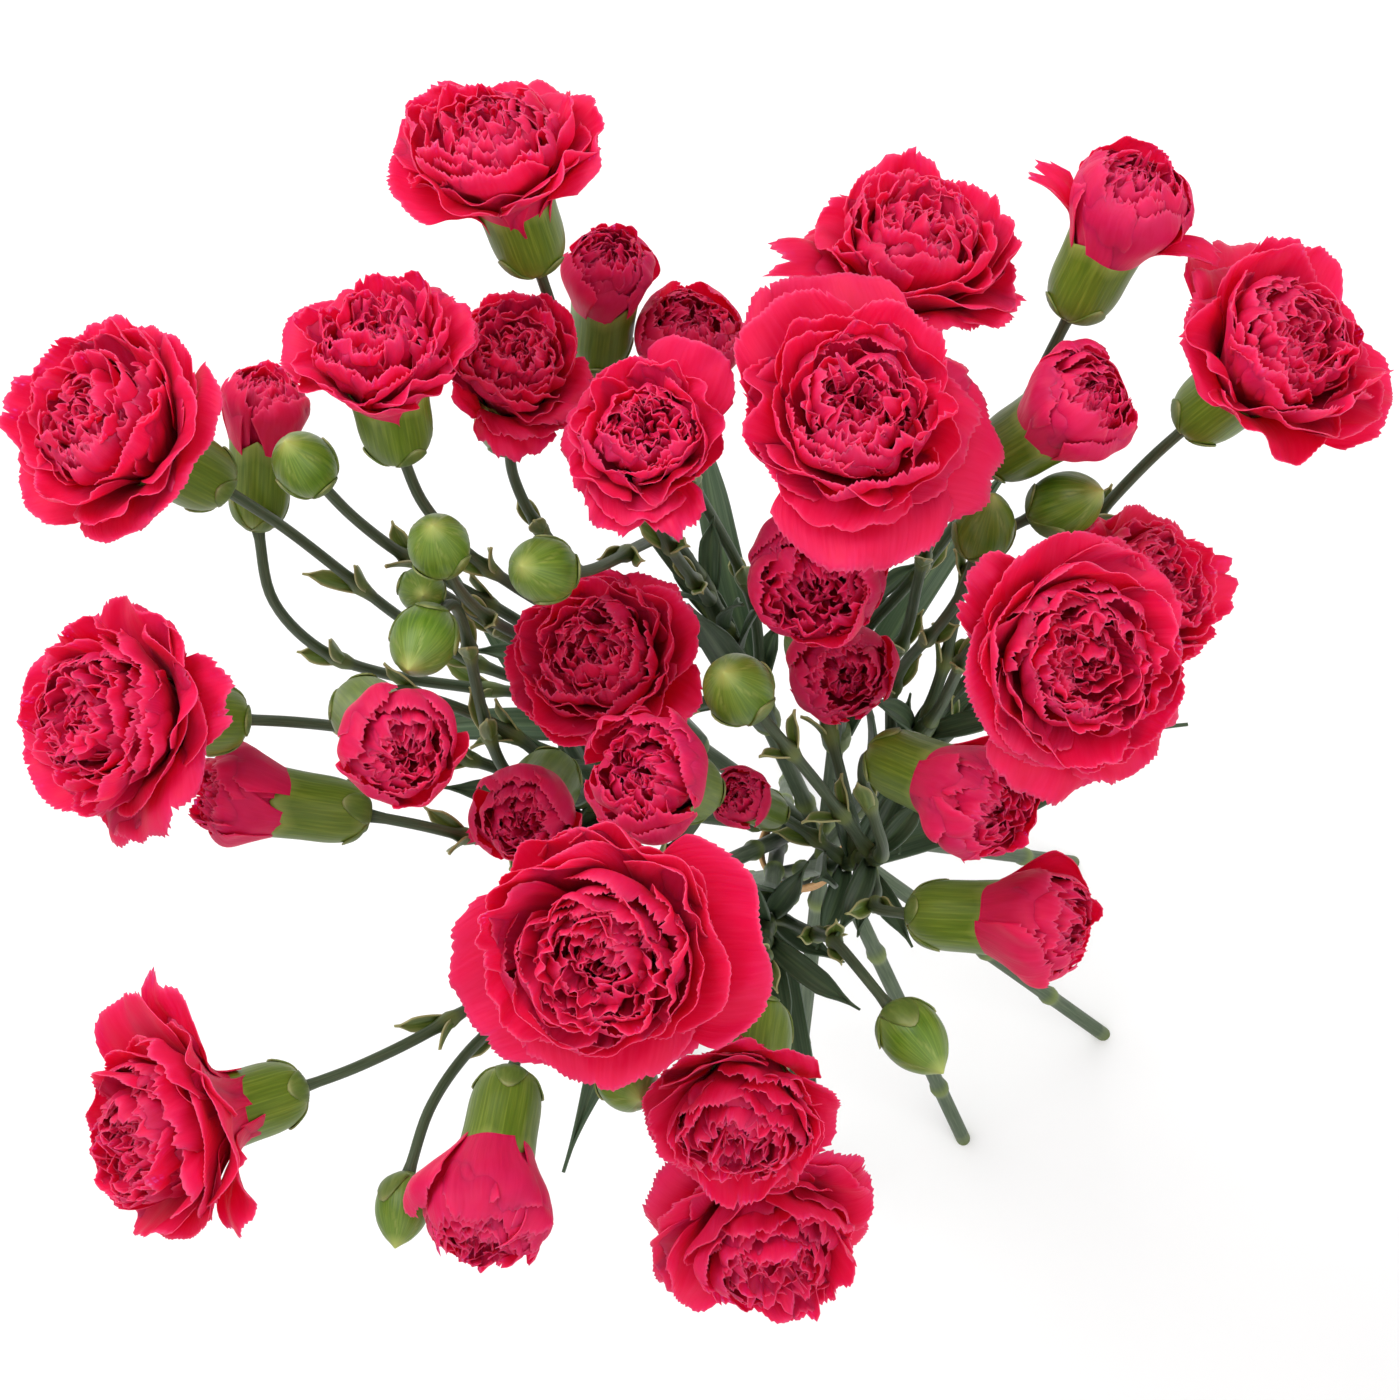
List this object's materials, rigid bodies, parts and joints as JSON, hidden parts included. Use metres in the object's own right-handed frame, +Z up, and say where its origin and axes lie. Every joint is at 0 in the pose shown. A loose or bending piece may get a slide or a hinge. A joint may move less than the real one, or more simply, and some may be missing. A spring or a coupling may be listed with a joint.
{
  "type": "bunch of cut spray carnations",
  "caption": "Hand-tied bunch of cut spray carnations: branching stems crossed in a rubber band, with narrow leaves, red blooms and green buds, standing on its cut ends.",
  "frame": {"origin": "on the surface that the cut stem ends stand on, under the middle of the bunch's box", "axes": "+Z up along the bunch, +X and +Y across it; the bunch has no front"},
  "size_m": [0.2876, 0.2482, 0.4622],
  "materials": {
    "petal": "soft matt petal, crimson pink, paler at the rims and deeper in the folds",
    "calyx": "smooth waxy green skin of the calyx and the closed buds, with fine veins and a pale tip",
    "stem": "grey-green skin with a dull waxy bloom",
    "leaf": "blue-green leaf with a dull waxy bloom",
    "rubber": "natural rubber, matt"
  },
  "bodies": {
    "root": {"stem_a": "stem", "leaf_pair_a": "leaf", "bud_a1": "calyx", "bud_a2": "calyx", "bloom_a3": "petal", "bloom_a4": "petal", "half_open_a5": "petal", "bud_a6": "calyx", "stem_b": "stem", "leaf_pair_b": "leaf", "bud_b1": "calyx", "half_open_b2": "petal", "bloom_b3": "petal", "half_open_b4": "petal", "half_open_b5": "petal", "bloom_b6": "petal", "stem_c": "stem", "leaf_pair_c": "leaf", "bloom_c1": "petal", "half_open_c2": "petal", "bloom_c3": "petal", "half_open_c4": "petal", "bud_c5": "calyx", "stem_d": "stem", "leaf_pair_d": "leaf", "bloom_d1": "petal", "bud_d2": "calyx", "bloom_d3": "petal", "bud_d4": "calyx", "bud_d5": "calyx", "stem_e": "stem", "leaf_pair_e": "leaf", "half_open_e1": "petal", "bud_e2": "calyx", "half_open_e3": "petal", "half_open_e4": "petal", "half_open_e5": "petal", "stem_f": "stem", "leaf_pair_f": "leaf", "bloom_f1": "petal", "bud_f2": "calyx", "bloom_f3": "petal", "bud_f4": "calyx", "bloom_f5": "petal", "stem_g": "stem", "leaf_pair_g": "leaf", "bloom_g1": "petal", "half_open_g2": "petal", "half_open_g3": "petal", "bloom_g4": "petal", "half_open_g5": "petal", "stem_h": "stem", "leaf_pair_h": "leaf", "bud_h1": "calyx", "bloom_h2": "petal", "bloom_h3": "petal", "bloom_h4": "petal", "half_open_h5": "petal", "half_open_h6": "petal", "rubber_band": "rubber"}
  },
  "joints": []
}
